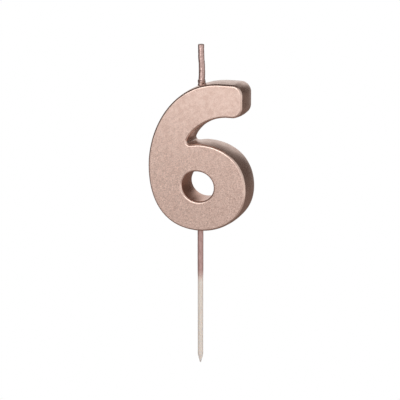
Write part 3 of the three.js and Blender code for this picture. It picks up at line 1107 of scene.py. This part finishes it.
def finish_piece(piece, material, nodes, body):
    piece.data.materials.clear()
    piece.data.materials.append(material)
    if body:
        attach(piece, body)
    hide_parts(*nodes)


def dress_node(node, material):
    mesh = frame["nodes"][node].data
    mesh.materials.clear()
    mesh.materials.append(material)


wick_material = wick_lacquer("wick_lacquer", WICK_DEEP, WICK_PALE)
# the same lacquer as the wick's, darker at its deep end: painted shade on the bead
bead_painted_shade_material = wick_lacquer("bead_lacquer_painted_shade", BEAD_DEEP_PAINTED_SHADE, BEAD_PALE)
cotton_material = cotton()

finish_piece(make_numeral(), numeral_lacquer(), ["lacquer_coat"], "numeral")
finish_piece(make_bead(), bead_painted_shade_material, ["wick_collar"], "numeral")
sleeve = make_wick_sleeve()
finish_piece(sleeve, wick_material, ["wick_coat"], None)
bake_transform(sleeve)
for index in range(PLY_COUNT):
    strand = make_strand(index)
    finish_piece(strand, cotton_material, [f"wick_ply_{index + 1}"], None)
    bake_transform(strand)
pick_material = sprayed("pick_plastic", softness=0.75)
overspray_material = sprayed("pick_lacquer", softness=0.0)
finish_piece(make_pick(), pick_material, ["pick"], "pick")
finish_piece(make_overspray(), overspray_material, ["pick_coat"], "pick")
finish_piece(make_wax(), wax(), ["wax_body"], "numeral")
dress_node("wick_core", cotton_material)

# ---------------------------------------------------------------- stage

# the camera: degrees round from the front and up, metres, and a lens and sensor in millimetres
AZIMUTH = math.radians(21)
ELEVATION = math.radians(14.7)
DISTANCE = 0.6538
TARGET = Vector((0.00125, -0.0039, 0.0378))
LENS = 126.0
SENSOR = 36
SIGHT = 50

# the floor, in millimetres
FLOOR_SIZE = 8000
FLOOR_Z = -160

WHITE = (1, 1, 1)
BLACK = (0, 0, 0)


def make_camera():
    data = bpy.data.cameras.new("camera")
    data.lens = LENS
    data.sensor_width = SENSOR
    data.clip_end = SIGHT
    camera = show("camera", data)
    back = Vector((
        math.sin(AZIMUTH) * math.cos(ELEVATION),
        -math.cos(AZIMUTH) * math.cos(ELEVATION),
        math.sin(ELEVATION),
    ))
    camera.location = TARGET + back * DISTANCE
    camera.rotation_euler = (-back).to_track_quat("-Z", "Y").to_euler()
    bpy.context.scene.camera = camera


def make_floor():
    """A plain white floor, well below the pick's point."""
    corners = [(x * FLOOR_SIZE, y * FLOOR_SIZE, FLOOR_Z) for x, y in ((-1, -1), (1, -1), (1, 1), (-1, 1))]
    floor = make_object("floor", corners, [(0, 1, 2, 3)], smooth=False)
    material = bpy.data.materials.new("floor_white")
    material.use_nodes = True
    tree = Tree(material.node_tree)
    tree.tree.nodes.clear()
    glow = tree.add("ShaderNodeEmission")
    tree.put(WHITE, glow.inputs["Color"])
    output = tree.add("ShaderNodeOutputMaterial")
    tree.link(glow.outputs[0], output.inputs["Surface"])
    floor.data.materials.append(material)
    floor.visible_glossy = False
    floor.visible_diffuse = False
    floor.visible_shadow = False


# soft boxes on the sky, in degrees. Azimuth 0 is straight in front and 90 is to the right
SIDE_BOX = dict(
    azimuth=50, half_width=62, side_fade=16,
    low=-16, high=52, fade=16,
    strength=0.6, colour=(1.0, 0.985, 0.97),
)
FRONT_BOX = dict(
    azimuth=-16, half_width=22, side_fade=22,
    low=-34, high=30, fade=18,
    strength=0.38, colour=(1.0, 0.98, 0.965),
)
BACK_BOX = dict(
    azimuth=197, half_width=16, side_fade=18,
    low=-4, high=18, fade=15,
    strength=0.78, colour=(1.0, 0.99, 0.975),
)
AMBIENT_UP = (0.072, 0.050, 0.040)
AMBIENT_DOWN = (0.17, 0.12, 0.10)
AMBIENT_CHANGE = (-0.45, 0.05)  # the heights on the sky between which one gives way to the other


class Sky(Tree):
    """The studio round the candle, as a world shader."""

    def __init__(self, tree):
        super().__init__(tree)
        self.toward = self.add("ShaderNodeTexCoord").outputs["Generated"]
        split = self.add("ShaderNodeSeparateXYZ")
        self.link(self.toward, split.inputs[0])
        self.height = split.outputs["Z"]
        self.elevation = self.math("ARCSINE", self.height)

    def fade(self, value, dark_at, bright_at):
        return self.range(value, (dark_at, bright_at), SHARE, interpolation_type="SMOOTHSTEP")

    def along(self, direction):
        node = self.add("ShaderNodeVectorMath", operation="DOT_PRODUCT")
        self.link(self.toward, node.inputs[0])
        node.inputs[1].default_value = direction
        return node.outputs["Value"]

    def window(self, box):
        """How much of a soft box is seen, from 0 to 1."""
        turn = math.radians(box["azimuth"])
        ahead = self.along((math.sin(turn), -math.cos(turn), 0))
        aside = self.along((math.cos(turn), math.sin(turn), 0))
        off = self.math("ABSOLUTE", self.math("ARCTAN2", aside, ahead))
        half_width = math.radians(box["half_width"])
        sides = self.fade(off, half_width + math.radians(box["side_fade"]), half_width)
        fade = math.radians(box["fade"])
        low = math.radians(box["low"])
        high = math.radians(box["high"])
        foot = self.fade(self.elevation, low - fade, low)
        head = self.fade(self.elevation, high + fade, high)
        return self.math("MULTIPLY", sides, self.math("MULTIPLY", foot, head))


def make_light():
    """The soft boxes light the candle, and the camera sees plain white behind it."""
    world = bpy.data.worlds.new("studio")
    bpy.context.scene.world = world
    world.use_nodes = True
    world.node_tree.nodes.clear()
    sky = Sky(world.node_tree)
    total = sky.mix(sky.fade(sky.height, *AMBIENT_CHANGE), AMBIENT_DOWN, AMBIENT_UP)
    for box in (SIDE_BOX, FRONT_BOX, BACK_BOX):
        glow = tuple(part * box["strength"] for part in box["colour"])
        total = sky.mix(1, total, sky.mix(sky.window(box), BLACK, glow), "ADD")
    lit = sky.add("ShaderNodeBackground")
    sky.link(total, lit.inputs["Color"])
    white = sky.add("ShaderNodeBackground")
    sky.put(WHITE, white.inputs["Color"])
    path = sky.add("ShaderNodeLightPath")
    choose = sky.add("ShaderNodeMixShader")
    sky.link(path.outputs["Is Camera Ray"], choose.inputs[0])
    sky.link(lit.outputs[0], choose.inputs[1])
    sky.link(white.outputs[0], choose.inputs[2])
    output = sky.add("ShaderNodeOutputWorld")
    sky.link(choose.outputs[0], output.inputs["Surface"])


def make_lamp(name, width, height, energy, colour, place, aim):
    """A soft box close to the candle, in metres and watts."""
    light = bpy.data.lights.new(name, "AREA")
    light.shape = "RECTANGLE"
    light.size = width
    light.size_y = height
    light.energy = energy
    light.color = colour
    lamp = show(name, light)
    lamp.location = place
    lamp.rotation_euler = (Vector(aim) - lamp.location).to_track_quat("-Z", "Y").to_euler()
    lamp.visible_camera = False


make_camera()
make_floor()
make_light()
# lights the numeral's upper part a little more
make_lamp(
    "front_box", width=0.26, height=0.16, energy=0.25, colour=(1.0, 0.985, 0.97),
    place=(-0.08, -0.28, 0.17), aim=(0, 0, 0.08),
)
# lifts the pick and the underside of the bowl
make_lamp(
    "low_box", width=0.50, height=0.50, energy=0.2, colour=(1.0, 0.96, 0.93),
    place=(0.30, -0.08, -0.14), aim=(0, 0, 0),
)
bpy.context.scene.view_settings.view_transform = "Standard"
